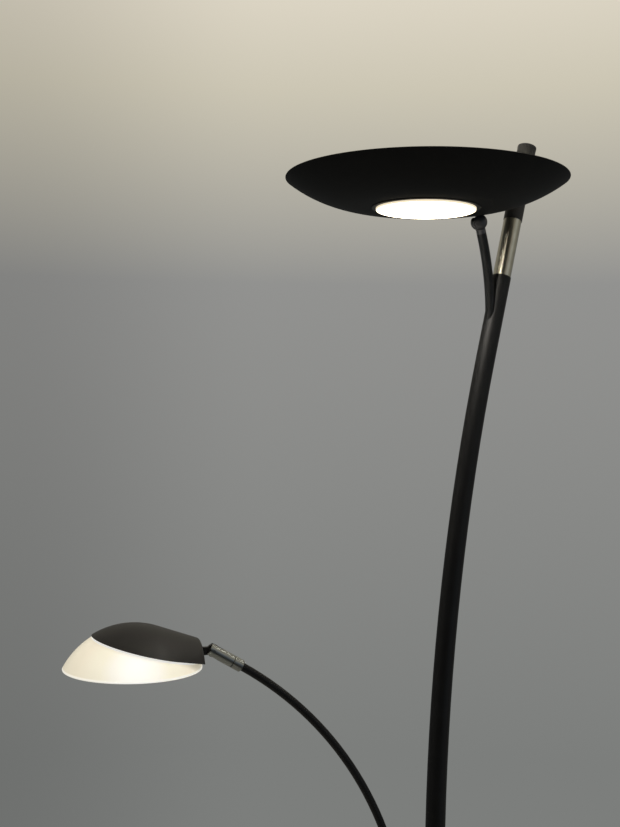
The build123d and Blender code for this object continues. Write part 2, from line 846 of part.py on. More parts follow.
with BuildPart() as housing_body:
    add(housing_block())
    split(bisect_by=face_plane(cover_face), keep=Keep.BOTTOM)
    with BuildSketch(arm_level(housing_bottom)):
        Circle(pole_radius + running_play)
    extrude(amount=housing_height, mode=Mode.SUBTRACT)
    with BuildSketch(arm_level(housing_top)):
        with Locations((arm_offset, 0)):
            Circle(bush_radius + running_play)
    extrude(amount=-bush_length, mode=Mode.SUBTRACT)
    with BuildSketch(face_plane(cover_face)):
        with Locations((-button_place, housing_middle)):
            Rectangle(pocket_width, housing_height - 2 * pocket_margin)
    extrude(amount=board_back - cover_face, mode=Mode.SUBTRACT)
    for height in cover_screw_heights:
        add(cover_screw(height, running_play), mode=Mode.SUBTRACT)
    pole_hole = grub_hole(-housing_half_width, housing_half_width, grub_diameter / 2 + running_play, 1)
    arm_hole = grub_hole(
        arm_offset + housing_half_width, housing_half_width, grub_diameter / 2 + running_play, -1
    )
    add(pole_hole, mode=Mode.SUBTRACT)
    add(arm_hole, mode=Mode.SUBTRACT)

with BuildPart() as housing_cover:
    add(housing_block())
    split(bisect_by=face_plane(cover_face), keep=Keep.TOP)
    with BuildSketch(face_plane(cover_face)):
        with Locations(*[(-button_place, height) for height in button_heights]):
            Circle(button_radius + button_play)
    extrude(amount=housing_cover_thickness, mode=Mode.SUBTRACT)
    for height in cover_screw_heights:
        add(cover_screw(height, running_play), mode=Mode.SUBTRACT)

with BuildPart() as cover_screws:
    for height in cover_screw_heights:
        add(cover_screw(height))

with BuildPart() as grub_screws:
    add(grub_hole(pole_grub_start, pole_grub_length, grub_diameter / 2, 1))
    add(grub_hole(arm_grub_start, arm_grub_length, grub_diameter / 2, -1))
    for start, inwards in ((pole_grub_start, 1), (arm_grub_start, -1)):
        socket = Plane(origin=arm_out * start + up * housing_middle, z_dir=arm_out * inwards)
        with BuildSketch(socket):
            RegularPolygon(grub_socket / 2, 6, major_radius=False)
        extrude(amount=grub_socket, mode=Mode.SUBTRACT)

with BuildPart() as dimmer_board:
    with BuildSketch(face_plane(board_back)):
        with Locations((-button_place, housing_middle)):
            Rectangle(dimmer_board_width, dimmer_board_length)
    extrude(amount=board_thickness)

with BuildPart() as tact_switches:
    with BuildSketch(face_plane(board_front)):
        with Locations(*[(-button_place, height) for height in button_heights]):
            Rectangle(switch_size, switch_size)
    extrude(amount=switch_height)


def push_button(height):
    """A round push button: a flange behind the cover and a cap that stands proud of it."""
    with BuildPart() as button:
        with BuildSketch(face_plane(button_back)):
            with Locations((-button_place, height)):
                Circle(button_radius + button_flange)
        extrude(amount=button_flange_height)
        with BuildSketch(face_plane(button_back)):
            with Locations((-button_place, height)):
                Circle(button_radius)
        extrude(amount=housing_half_width + button_proud - button_back)
        fillet(button.edges().sort_by(Axis((0, 0, 0), arm_side))[-1], button_edge_round)
    return button


head_button = push_button(button_heights[0])
bowl_button = push_button(button_heights[1])

with BuildPart() as arm_bush:
    with BuildSketch(arm_level(housing_top - bush_length)):
        with Locations((arm_offset, 0)):
            Circle(bush_radius)
    extrude(amount=bush_length)
    with BuildSketch(arm_level(housing_top)):
        with Locations((arm_offset, 0)):
            Circle(bush_lip_diameter / 2)
    extrude(amount=bush_lip)
    with BuildSketch(arm_level(housing_top + bush_lip)):
        with Locations((arm_offset, 0)):
            Circle(arm_radius + running_play)
    extrude(amount=-bush_length - bush_lip, mode=Mode.SUBTRACT)

# ---- reading arm ------------------------------------------------------------------------------

with BuildPart() as arm_tube:
    with BuildLine(arm_plane) as arm_route:
        Line((arm_offset, arm_foot), (arm_offset, arm_bend_height))
        JernArc((arm_offset, arm_bend_height), (0, 1), arm_bend_radius, -arm_sweep)
        Line(arm_end, arm_end + arm_end_direction * ferrule_socket)
    with BuildSketch(arm_level(arm_foot)):
        with Locations((arm_offset, 0)):
            Circle(arm_radius)
            Circle(arm_radius - arm_wall, mode=Mode.SUBTRACT)
    sweep(path=arm_route.line)

with BuildPart() as arm_sleeve:
    with BuildSketch(arm_level(sleeve_bottom)):
        with Locations((arm_offset, 0)):
            Circle(sleeve_radius)
    extrude(amount=sleeve_length)
    chamfer(arm_sleeve.edges().group_by(Axis.Z)[0] + arm_sleeve.edges().group_by(Axis.Z)[-1], edge_break)
    with BuildSketch(arm_level(sleeve_bottom)):
        with Locations((arm_offset, 0)):
            Circle(arm_radius + running_play)
    extrude(amount=sleeve_length, mode=Mode.SUBTRACT)

with BuildPart() as arm_ferrule:
    with BuildSketch(arm_end_plane(0)):
        Circle(sleeve_radius)
    extrude(amount=ferrule_length)
    chamfer(arm_ferrule.edges().filter_by(GeomType.CIRCLE), edge_break)
    with BuildSketch(arm_end_plane(0)):
        Circle(arm_radius + running_play)
    extrude(amount=ferrule_socket, mode=Mode.SUBTRACT)
    with BuildSketch(arm_end_plane(ferrule_length)):
        Circle(stud_diameter / 2)
    extrude(amount=stud_length)

with BuildPart() as head_fork:
    with BuildSketch(arm_end_plane(fork_start)):
        Circle(sleeve_radius)
    extrude(amount=fork_length)
    chamfer(head_fork.edges().filter_by(GeomType.CIRCLE), edge_break)
    with BuildSketch(arm_end_plane(fork_start)):
        Circle(stud_diameter / 2 + running_play)
    extrude(amount=stud_length, mode=Mode.SUBTRACT)
    with BuildSketch(arm_end_plane(fork_end)):
        Rectangle(fork_slot_width, sleeve_diameter)
    extrude(amount=-fork_slot_depth, mode=Mode.SUBTRACT)
    with BuildSketch(pin_plane.offset(-sleeve_radius)):
        Circle(pin_radius)
    extrude(amount=sleeve_diameter, mode=Mode.SUBTRACT)

with BuildPart() as fork_pin:
    with BuildSketch(pin_plane.offset(fork_pin_short - sleeve_radius)):
        Circle(pin_radius)
    extrude(amount=sleeve_diameter - 2 * fork_pin_short)

# ---- reading head -----------------------------------------------------------------------------

wall_distance = head_reach - neck_back
sink_top = sink_height + sink_thickness
sink_radius = dome_radius(glass_inner_curve, sink_top) - cap_play
screw_radius = head_screw_diameter / 2
back_wall = Plane(origin=pin_centre + arm_out * wall_distance, x_dir=-arm_side, z_dir=-arm_out)

with BuildPart() as head_tongue:
    with BuildSketch(pin_plane):
        Circle(tongue_radius)
        with Locations((wall_distance / 2, 0)):
            Rectangle(wall_distance, tongue_height)
    extrude(amount=tongue_thickness / 2, both=True)
    with BuildSketch(back_wall):
        Circle(tongue_stem_diameter / 2)
    extrude(amount=-tongue_stem_length)
    with BuildSketch(pin_plane.offset(-tongue_thickness)):
        Circle(pin_radius + running_play)
    extrude(amount=2 * tongue_thickness, mode=Mode.SUBTRACT)

# The neck is a cone that touches the dome all round, so that the cap has no step where it begins.
taper = math.radians(neck_taper)
neck_rise = taper - math.radians(neck_slope)
neck_direction = up * math.sin(neck_rise) - arm_out * math.cos(neck_rise)
neck_section = Plane(origin=dome_centre, x_dir=neck_direction, z_dir=arm_side)
neck_start = (cap_curve * math.sin(taper), cap_curve * math.cos(taper))
neck_point = (cap_curve / math.sin(taper), 0)
edge_plane = Plane(origin=rim_centre + up * cap_edge_height, z_dir=up - arm_out * cap_edge_rise)

with BuildPart() as head_cap:
    with BuildSketch(neck_section):
        with BuildLine():
            ThreePointArc((-cap_curve, 0), (0, cap_curve), neck_start)
            Polyline(neck_start, neck_point, (-cap_curve, 0))
        make_face()
    revolve(axis=Axis(dome_centre, neck_direction))
    split(bisect_by=edge_plane, keep=Keep.TOP)
    split(bisect_by=back_wall, keep=Keep.BOTTOM)
    back_face = head_cap.faces().sort_by(Axis(dome_centre, arm_out))[0]
    fillet(back_face.edges().filter_by(GeomType.LINE, reverse=True), neck_corner)
    with Locations(Location(dome_centre)):
        Sphere(cap_inner_curve, mode=Mode.SUBTRACT)
    with BuildSketch(back_wall):
        Circle(tongue_stem_diameter / 2 + running_play)
    extrude(amount=-tongue_stem_length - running_play, mode=Mode.SUBTRACT)
    # the post inside that the heat sink is screwed to
    with BuildSketch(head_level(sink_top)):
        Circle(post_radius)
    extrude(amount=glass_height + cap_play + cap_wall / 2 - sink_top)
    with BuildSketch(head_level(sink_top)):
        Circle(screw_radius + running_play)
    extrude(amount=head_screw_length - sink_thickness + running_play, mode=Mode.SUBTRACT)

with BuildPart() as head_glass:
    with Locations(Location(dome_centre)):
        Sphere(glass_curve)
    split(bisect_by=head_level(0), keep=Keep.TOP)
    with Locations(Location(dome_centre)):
        Sphere(glass_inner_curve, mode=Mode.SUBTRACT)
    fillet(head_glass.edges().group_by(Axis.Z)[0], glass_rim_round)
    with BuildSketch(head_level(0)):
        Circle(glass_hole_radius)
    extrude(amount=glass_curve, mode=Mode.SUBTRACT)

with BuildPart() as head_sink:
    with BuildSketch(head_level(sink_height)):
        Circle(sink_radius)
        Circle(screw_radius + running_play, mode=Mode.SUBTRACT)
    extrude(amount=sink_thickness)

with BuildPart() as reading_led_board:
    with BuildSketch(head_level(sink_height)):
        Circle(reading_board_radius)
        Circle(head_screw_head / 2 + button_play, mode=Mode.SUBTRACT)
    extrude(amount=-board_thickness)

reading_chip_seat = head_level(sink_height - board_thickness)
reading_leds = led_chips(reading_chip_seat, (reading_chip_ring,), (reading_chip_count,), -chip_height)

with BuildPart() as head_screw:
    with BuildSketch(head_level(sink_height)):
        Circle(head_screw_head / 2)
    extrude(amount=-head_screw_head_height)
    with BuildSketch(head_level(sink_height)):
        Circle(screw_radius)
    extrude(amount=head_screw_length)

diffuser_top = reading_diffuser_height + reading_diffuser_thickness

with BuildPart() as reading_diffuser:
    with BuildSketch(head_level(reading_diffuser_height)):
        Circle(dome_radius(glass_inner_curve, diffuser_top) - cap_play)
    extrude(amount=reading_diffuser_thickness)

# ---- export -----------------------------------------------------------------------------------

pieces = {
    "base_cover": base_cover,
    "base_weight": base_weight,
    "base_pad": base_pad,
    "base_washer": base_washer,
    "base_nut": base_nut,
    "base_nipple": base_nipple,
    "cord_inlet": cord_inlet,
    "base_flange": base_flange,
    "pole_plug": pole_plug,
    "pole_lower": pole_lower,
    "lower_joiner": lower_joiner,
    "pole_middle": pole_middle,
    "upper_joiner": upper_joiner,
    "pole_upper": pole_upper,
    "pole_connector": pole_connector,
    "pole_tip": pole_tip,
    "pole_end_cap": pole_end_cap,
    "bowl_branch": bowl_branch,
    "swivel_lower": swivel_lower,
    "swivel_washer": swivel_washer,
    "swivel_upper": swivel_upper,
    "swivel_screw": swivel_screw,
    "swivel_nut_washer": swivel_nut_washer,
    "swivel_nut": swivel_nut,
    "bowl_shell": bowl_shell,
    "bowl_carrier": bowl_carrier,
    "carrier_screws": carrier_screws,
    "down_ring": down_ring,
    "down_diffuser": down_diffuser,
    "down_led_board": down_led_board,
    "down_leds": down_leds,
    "up_led_board": up_led_board,
    "up_leds": up_leds,
    "up_diffuser": up_diffuser,
    "up_ring": up_ring,
    "housing_body": housing_body,
    "housing_cover": housing_cover,
    "cover_screws": cover_screws,
    "grub_screws": grub_screws,
    "dimmer_board": dimmer_board,
    "tact_switches": tact_switches,
    "bowl_button": bowl_button,
    "head_button": head_button,
    "arm_bush": arm_bush,
    "arm_tube": arm_tube,
    "arm_sleeve": arm_sleeve,
    "arm_ferrule": arm_ferrule,
    "head_fork": head_fork,
    "fork_pin": fork_pin,
    "head_tongue": head_tongue,
    "head_cap": head_cap,
    "head_glass": head_glass,
    "head_sink": head_sink,
    "reading_led_board": reading_led_board,
    "reading_leds": reading_leds,
    "head_screw": head_screw,
    "reading_diffuser": reading_diffuser,
}

for name, piece in pieces.items():
    piece.part.label = name
    export_step(piece.part, f"parts/{name}.step")
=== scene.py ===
import json
import math

import bpy
import numpy as np
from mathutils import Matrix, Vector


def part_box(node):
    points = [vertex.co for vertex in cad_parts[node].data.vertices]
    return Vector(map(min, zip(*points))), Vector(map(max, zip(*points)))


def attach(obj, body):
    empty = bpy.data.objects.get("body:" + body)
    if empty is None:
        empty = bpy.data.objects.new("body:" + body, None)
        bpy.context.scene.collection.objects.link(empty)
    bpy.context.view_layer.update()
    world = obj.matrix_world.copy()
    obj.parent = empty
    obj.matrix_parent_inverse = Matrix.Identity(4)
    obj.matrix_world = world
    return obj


# A torchiere floor lamp with a reading light, dressed over its CAD frame. Metres, +Z up, -Y the front.

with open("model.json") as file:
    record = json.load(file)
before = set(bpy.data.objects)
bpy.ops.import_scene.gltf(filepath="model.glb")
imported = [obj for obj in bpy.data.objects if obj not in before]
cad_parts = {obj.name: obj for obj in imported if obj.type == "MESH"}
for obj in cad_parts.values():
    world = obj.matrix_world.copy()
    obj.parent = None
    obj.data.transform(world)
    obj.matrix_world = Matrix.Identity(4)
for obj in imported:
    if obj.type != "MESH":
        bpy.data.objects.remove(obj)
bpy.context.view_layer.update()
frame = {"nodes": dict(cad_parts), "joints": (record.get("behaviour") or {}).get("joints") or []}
nodes = frame["nodes"]
joints = {joint["name"]: joint for joint in frame["joints"]}
mm = 0.001


# ---- colours, nodes and meshes --------------------------------------------------------------------


def linear(code):
    """An sRGB hex colour as the linear RGBA that Blender's sockets take."""
    channels = np.array([int(code[i : i + 2], 16) for i in (1, 3, 5)]) / 255
    light = np.where(channels <= 0.04045, channels / 12.92, ((channels + 0.055) / 1.055) ** 2.4)
    return (*light.tolist(), 1.0)


def add_node(tree, kind, inputs=(), **settings):
    """Adds a node with its settings; inputs are pairs of a socket's name or number and its value or feed."""
    node = tree.nodes.new(kind)
    for name, value in settings.items():
        setattr(node, name, value)
    for socket, value in inputs:
        if isinstance(value, bpy.types.NodeSocket):
            tree.links.new(value, node.inputs[socket])
        else:
            node.inputs[socket].default_value = value
    return node


def new_material(name, **values):
    """A material with a Principled shader set to these values, and the piece's own coordinates in metres."""
    material = bpy.data.materials.new(name)
    material.use_nodes = True
    tree = material.node_tree
    tree.nodes.clear()
    shader = add_node(tree, "ShaderNodeBsdfPrincipled")
    for socket, value in values.items():
        shader.inputs[socket.replace("_", " ")].default_value = value
    add_node(tree, "ShaderNodeOutputMaterial", [("Surface", shader.outputs[0])])
    place = add_node(tree, "ShaderNodeTexCoord").outputs["Object"]
    return material, tree, shader, place


def colour_ramp(tree, factor, stops):
    """A colour ramp fed by this factor; stops are pairs of a position and a hex colour."""
    ramp = add_node(tree, "ShaderNodeValToRGB", [("Fac", factor)])
    elements = ramp.color_ramp.elements
    elements[0].position, elements[0].color = stops[0][0], linear(stops[0][1])
    elements[1].position, elements[1].color = stops[-1][0], linear(stops[-1][1])
    for position, code in stops[1:-1]:
        elements.new(position).color = linear(code)
    return ramp.outputs["Color"]


def noise(tree, place, size, detail=2.0):
    """Noise whose lumps are about this size in metres, from 0 to 1."""
    settings = [("Vector", place), ("Scale", 1 / size), ("Detail", detail)]
    return add_node(tree, "ShaderNodeTexNoise", settings).outputs["Fac"]


def calculate(tree, operation, *values):
    """One step of arithmetic on numbers."""
    return add_node(tree, "ShaderNodeMath", list(enumerate(values)), operation=operation).outputs[0]


def along(tree, place, axis, origin=(0.0, 0.0, 0.0)):
    """Distance in metres from an origin, measured along an axis."""
    moved = add_node(tree, "ShaderNodeVectorMath", [(0, place), (1, origin)], operation="SUBTRACT").outputs[0]
    reach = add_node(tree, "ShaderNodeVectorMath", [(0, moved), (1, axis)], operation="DOT_PRODUCT")
    return reach.outputs["Value"]


def bump(tree, shader, height, depth, strength):
    """Gives the shader a relief of this depth in metres."""
    settings = [("Height", height), ("Distance", depth), ("Strength", strength)]
    relief = add_node(tree, "ShaderNodeBump", settings)
    tree.links.new(relief.outputs["Normal"], shader.inputs["Normal"])


def to_range(tree, value, low, high, from_low=0.0, from_high=1.0, ease="LINEAR"):
    """The value with from_low to from_high spread over low to high."""
    settings = [
        ("Value", value),
        ("From Min", from_low),
        ("From Max", from_high),
        ("To Min", low),
        ("To Max", high),
    ]
    return add_node(tree, "ShaderNodeMapRange", settings, interpolation_type=ease).outputs["Result"]


def distance(tree, place, centre, weights=(1.0, 1.0, 1.0)):
    """Distance in metres from this place; a weight of 0 leaves that direction out."""
    start = tuple(-c * w for c, w in zip(centre, weights))
    moved = add_node(tree, "ShaderNodeMapping", [("Vector", place), ("Location", start), ("Scale", weights)])
    reach = add_node(tree, "ShaderNodeVectorMath", [(0, moved.outputs[0])], operation="LENGTH")
    return reach.outputs["Value"]


def surface(name, points, closed_u=False, closed_v=False):
    """A smooth mesh from an array of points (rows u, columns v, xyz), joined into quads."""
    rows, columns = points.shape[:2]
    u = np.arange(rows if closed_u else rows - 1)
    v = np.arange(columns if closed_v else columns - 1)
    uu, vv = np.meshgrid(u, v, indexing="ij")
    next_u = (uu + 1) % rows
    next_v = (vv + 1) % columns
    corners = [uu * columns + vv, next_u * columns + vv, next_u * columns + next_v, uu * columns + next_v]
    quads = np.stack(corners, axis=-1).reshape(-1, 4)
    mesh = bpy.data.meshes.new(name)
    mesh.from_pydata(points.reshape(-1, 3).tolist(), [], quads.tolist())
    mesh.shade_smooth()
    piece = bpy.data.objects.new(name, mesh)
    bpy.context.scene.collection.objects.link(piece)
    return piece


# ---- materials --------------------------------------------------------------------------------------

arm_axis = tuple(joints["head_twist"]["axis"])
upright = (0.0, 0.0, 1.0)
pole_lean = math.radians(17.17)
pole_axis = (0.0, math.sin(pole_lean), math.cos(pole_lean))


def powder_coat(name, low, high, roughness, sheen):
    """Polyester powder coat, sprayed and baked: nearly black, with a soft sheen and a fine orange peel."""
    patch_size, peel_size, peel_depth = 18 * mm, 1.2 * mm, 0.04 * mm
    material, tree, shader, place = new_material(name, IOR=1.5, Specular_IOR_Level=sheen)
    patches = noise(tree, place, patch_size, 3.0)
    tree.links.new(colour_ramp(tree, patches, [(0.35, low), (0.65, high)]), shader.inputs["Base Color"])
    peel = noise(tree, place, peel_size)
    tree.links.new(to_range(tree, peel, roughness - 0.05, roughness + 0.05), shader.inputs["Roughness"])
    bump(tree, shader, peel, peel_depth, 0.3)
    return material


def turned_metal(name, axis, low, high, roughness):
    """Metal turned on a lathe: tool rings round its own axis draw each reflection out along that axis."""
    cloud_size, ring_depth = 9 * mm, 0.006 * mm
    # real tool rings lie about 0.1 mm apart; these are wider, so that they show
    ring_pitch = 0.5 * mm
    material, tree, shader, place = new_material(name, Metallic=1.0, Anisotropic=0.85)
    cloud = noise(tree, place, cloud_size)
    tree.links.new(colour_ramp(tree, cloud, [(0.3, low), (0.7, high)]), shader.inputs["Base Color"])
    rings = add_node(
        tree,
        "ShaderNodeTexNoise",
        [("W", along(tree, place, axis)), ("Scale", 1 / ring_pitch), ("Detail", 2.0)],
        noise_dimensions="1D",
    ).outputs["Fac"]
    tree.links.new(to_range(tree, rings, roughness - 0.04, roughness + 0.04), shader.inputs["Roughness"])
    drawn = add_node(
        tree,
        "ShaderNodeVectorTransform",
        [(0, axis)],
        vector_type="VECTOR",
        convert_from="OBJECT",
        convert_to="WORLD",
    )
    tree.links.new(drawn.outputs[0], shader.inputs["Tangent"])
    bump(tree, shader, rings, ring_depth, 0.5)
    return material


def zinc_plate(name):
    """Zinc plated steel, as on bought screws and nuts: a cool grey metal with a faint crystal bloom."""
    bloom_size = 2 * mm
    material, tree, shader, place = new_material(name, Metallic=1.0)
    bloom = noise(tree, place, bloom_size, 3.0)
    tone = colour_ramp(tree, bloom, [(0.3, "#a9adb0"), (0.7, "#c3c6c6")])
    tree.links.new(tone, shader.inputs["Base Color"])
    tree.links.new(to_range(tree, bloom, 0.28, 0.42), shader.inputs["Roughness"])
    return material


def moulded_plastic(name, low, high, roughness, grit):
    """Injection moulded plastic from an eroded tool: an even matt skin with fine grit."""
    flow_size, grain_depth = 12 * mm, 0.03 * mm
    material, tree, shader, place = new_material(name, IOR=1.49, Specular_IOR_Level=0.35)
    flow = noise(tree, place, flow_size)
    tree.links.new(colour_ramp(tree, flow, [(0.35, low), (0.65, high)]), shader.inputs["Base Color"])
    grain = noise(tree, place, grit)
    tree.links.new(to_range(tree, grain, roughness - 0.06, roughness + 0.06), shader.inputs["Roughness"])
    bump(tree, shader, grain, grain_depth, 0.3)
    return material


def lit_acrylic(name, centre, radius, strength, middle, edge):
    """Opal acrylic lit from behind: an even white field that warms and fades in its last few millimetres."""
    grain_size, grain_depth = 0.8 * mm, 0.01 * mm
    material, tree, shader, place = new_material(
        name, Base_Color=linear("#e9e4d8"), Roughness=0.45, IOR=1.49, Emission_Strength=strength
    )
    reach = to_range(tree, distance(tree, place, centre, (1.0, 1.0, 0.0)), 0.0, 1.0, 0.0, radius)
    fading = [(0.89, edge), (0.945, "#7d7361"), (0.975, "#2e2a22"), (1.0, "#1b1813")]
    glow = colour_ramp(tree, reach, [(0.0, middle), (0.8, middle), *fading])
    tree.links.new(glow, shader.inputs["Emission Color"])
    bump(tree, shader, noise(tree, place, grain_size), grain_depth, 0.2)
    return material


def phosphor(name):
    """Phosphor in clear silicone, cast over a chip: a yellow gel with fine grains that glows warm white."""
    grain_size = 0.3 * mm
    material, tree, shader, place = new_material(
        name, Base_Color=linear("#f0d478"), Roughness=0.35, IOR=1.41, Emission_Strength=3.0
    )
    glow = colour_ramp(tree, noise(tree, place, grain_size), [(0.3, "#ffe9b4"), (0.7, "#fff6dc")])
    tree.links.new(glow, shader.inputs["Emission Color"])
    return material


reading_low, reading_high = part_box("head_glass")
reading_middle = (reading_low + reading_high) / 2
bowl_low, bowl_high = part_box("bowl_shell")
bowl_middle = (bowl_low + bowl_high) / 2
# a painted highlight, laid over the shade's glow from inside:
# the photograph shows the shade brightest here, low in the glass and towards the camera
painted_glow_pool = (reading_middle.x + 54 * mm, reading_middle.y - 38 * mm, reading_low.z + 14 * mm)
painted_glow_pool_reach = 100 * mm
# the cap's edge lies in a plane this far over the shade's rim, which rises outwards by this slope
cap_edge_height = 21.6 * mm
cap_edge_slope = 0.24
arm_out = np.array((arm_axis[0], arm_axis[1], 0.0)) / math.hypot(arm_axis[0], arm_axis[1])
cap_edge_normal = (np.array(upright) - cap_edge_slope * arm_out) / math.hypot(1.0, cap_edge_slope)
cap_edge_origin = (reading_middle.x, reading_middle.y, reading_low.z + cap_edge_height)


def opal_glass(name):
    """Blown opal glass, white all through and lit from inside: creamy, with a painted bright pool low on one
    side.
    """
    material, tree, shader, place = new_material(
        name,
        Base_Color=linear("#d2cfc6"),
        Roughness=0.22,
        IOR=1.5,
        Specular_IOR_Level=0.25,
        Emission_Strength=0.62,
    )
    reach = to_range(tree, distance(tree, place, painted_glow_pool), 0.0, 1.0, 0.0, painted_glow_pool_reach)
    cream = [(0.34, "#ddd7bf"), (0.6, "#cbc1a6"), (1.0, "#c2b9a0")]
    pool = colour_ramp(tree, reach, [(0.0, "#ffffff"), (0.13, "#fafaf6"), *cream])
    # the glass looks whiter at its ground foot and along the edge of the cap
    height = add_node(tree, "ShaderNodeSeparateXYZ", [("Vector", place)]).outputs["Z"]
    foot_start, foot_end = reading_low.z + 1.4 * mm, reading_low.z + 2.8 * mm
    foot = to_range(tree, height, 0.6, 0.0, foot_start, foot_end, "SMOOTHSTEP")
    below_cap = along(tree, place, cap_edge_normal, cap_edge_origin)
    seam_start, seam_end = -2.4 * mm, -1.0 * mm
    seam = to_range(tree, below_cap, 0.0, 1.0, seam_start, seam_end, "SMOOTHSTEP")
    edges = calculate(tree, "MAXIMUM", foot, seam)
    glow = add_node(tree, "ShaderNodeMix", [(0, edges), (6, pool), (7, linear("#fffffb"))], data_type="RGBA")
    tree.links.new(glow.outputs[2], shader.inputs["Emission Color"])
    return material


# the coats are darker than real ones, and the three diffusers below stronger, for the photograph's exposure
black_powder = powder_coat("powder_coated_steel_black", "#08090a", "#0c0d0e", 0.5, 0.18)
black_spun = powder_coat("powder_coated_spun_metal_black", "#060708", "#090a0a", 0.62, 0.1)
# the cap's black is lighter than the pole's: painted light, for the light that falls on its upturned top
black_cap_painted_lit = powder_coat("powder_coated_cast_metal_black_painted_lit", "#121212", "#181817", 0.5, 0.2)
# the swivel's black is lighter still: painted light, for the light of the bowl's lit window beside it
black_steel_painted_lit = powder_coat("lacquered_turned_steel_black_painted_lit", "#222224", "#29292b", 0.45, 0.6)
# the tip's black is lighter than the pole's: painted light, for the bowl's up light falling on it
black_tip_painted_lit = powder_coat("powder_coated_steel_black_painted_lit_tip", "#191918", "#1f1f1e", 0.5, 0.25)
nickel_upright = turned_metal("nickel_plated_steel_upright", upright, "#a8a698", "#b4b2a4", 0.3)
nickel_pole = turned_metal("nickel_plated_steel_pole", pole_axis, "#a8a698", "#b4b2a4", 0.33)
# the fork's nickel is darker than the other nickel: painted shade, which dims its reflections
nickel_arm_painted_shade = turned_metal("nickel_plated_steel_arm_painted_shade", arm_axis, "#7c7f7d", "#868985", 0.3)
aluminium = turned_metal("turned_aluminium", upright, "#c9cbcc", "#d6d7d7", 0.32)
zinc = zinc_plate("zinc_plated_steel")
black_plastic = moulded_plastic("moulded_abs_black", "#161617", "#1b1b1c", 0.5, 0.5 * mm)
nylon = moulded_plastic("moulded_nylon_black", "#1a1a1a", "#202020", 0.4, 0.7 * mm)
rubber = moulded_plastic("moulded_rubber_black", "#181818", "#1e1e1e", 0.7, 0.6 * mm)
button_grey = moulded_plastic("moulded_abs_grey", "#55585a", "#5c5f61", 0.45, 0.4 * mm)
mark_white = moulded_plastic("moulded_abs_white", "#c9cac8", "#d2d2cf", 0.45, 0.3 * mm)
white_board = moulded_plastic("solder_resist_white", "#e4e4df", "#ebebe7", 0.35, 1.0 * mm)
green_board = moulded_plastic("solder_resist_green", "#1f5a35", "#26663d", 0.35, 1.0 * mm)
foam = moulded_plastic("foam_rubber_black", "#1c1c1c", "#262626", 0.9, 0.6 * mm)
iron = moulded_plastic("cast_iron_rough", "#2b2b2b", "#383736", 0.75, 1.5 * mm)
bowl_light_radius, up_light_radius, reading_light_radius = 50 * mm, 69 * mm, 60 * mm
bowl_light = lit_acrylic("opal_acrylic_bowl", bowl_middle, bowl_light_radius, 36.0, "#fffaf0", "#fff0d6")
up_light = lit_acrylic("opal_acrylic_uplight", bowl_middle, up_light_radius, 60.0, "#fff8ea", "#fff0d6")
reading_light = lit_acrylic(
    "opal_acrylic_reading", reading_middle, reading_light_radius, 5.0, "#fffdf8", "#fff1d8"
)
chips = phosphor("led_phosphor_gel")
shade = opal_glass("opal_glass_shade")

finishes = {
    black_powder: "base_cover base_flange pole_lower pole_middle pole_upper bowl_branch arm_tube",
    black_tip_painted_lit: "pole_tip",
    black_spun: "bowl_shell",
    black_cap_painted_lit: "head_cap head_tongue",
    black_steel_painted_lit: "swivel_lower swivel_upper",
    nickel_upright: "lower_joiner upper_joiner arm_sleeve",
    nickel_pole: "pole_connector",
    nickel_arm_painted_shade: "arm_ferrule head_fork fork_pin",
    zinc: "base_washer base_nut base_nipple pole_plug swivel_screw swivel_nut_washer swivel_nut "
    "carrier_screws cover_screws grub_screws head_screw",
    black_plastic: "pole_end_cap down_ring up_ring housing_body housing_cover tact_switches",
    nylon: "swivel_washer arm_bush",
    rubber: "cord_inlet",
    button_grey: "bowl_button head_button",
    white_board: "down_led_board up_led_board reading_led_board",
    green_board: "dimmer_board",
    foam: "base_pad",
    iron: "base_weight",
    aluminium: "bowl_carrier head_sink",
    bowl_light: "down_diffuser",
    up_light: "up_diffuser",
    reading_light: "reading_diffuser",
    chips: "down_leds up_leds reading_leds",
    shade: "head_glass",
}
for material, names in finishes.items():
    for name in names.split():
        nodes[name].data.materials.clear()
        nodes[name].data.materials.append(material)

# ---- pieces added to the frame ------------------------------------------------------------------------

button_normal = -np.array(joints["press_bowl_button"]["axis"])
button_across = np.array((-button_normal[1], button_normal[0], 0.0))


def face_centre(name):
    """The middle of a button's outer face, from the reach of its points outwards, across and up."""
    mesh = nodes[name].data
    points = np.empty(3 * len(mesh.vertices))
    mesh.vertices.foreach_get("co", points)
    reach = points.reshape(-1, 3) @ np.stack([button_normal, button_across, upright], axis=1)
    outer = reach.max(axis=0)
    middle = (outer + reach.min(axis=0)) / 2
    return outer[0] * button_normal + middle[1] * button_across + middle[2] * np.array(upright)


def raised_mark(name, button, length):
    """A bar with round ends: an oval by angle u, drawn in by cos v to a ridge that rises by sin v."""
    width, root, height = 1.2 * mm, -0.1 * mm, 0.35 * mm
    round_steps, rise_steps = 48, 8
    turns = np.linspace(0, 2 * np.pi, round_steps + 1)[:-1]
    turn, rise = np.meshgrid(turns, np.linspace(0, np.pi / 2, rise_steps + 1), indexing="ij")
    half = np.cos(rise) * width / 2
    across = half * np.cos(turn) + np.sign(np.cos(turn)) * (length - width) / 2
    up = half * np.sin(turn)
    out = root + (height - root) * np.sin(rise)
    axes = np.stack([button_normal, button_across, upright])
    piece = surface(name, face_centre(button) + np.stack([out, across, up], axis=-1) @ axes, closed_u=True)
    piece.data.materials.append(mark_white)
    return piece


# a bar on the bowl's button and a dot on the reading light's, so that fingers tell them apart
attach(raised_mark("bowl_button_bar", "bowl_button", 4.5 * mm), "bowl_switch")
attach(raised_mark("head_button_dot", "head_button", 1.3 * mm), "head_switch")

# ---- floor, light and camera --------------------------------------------------------------------------

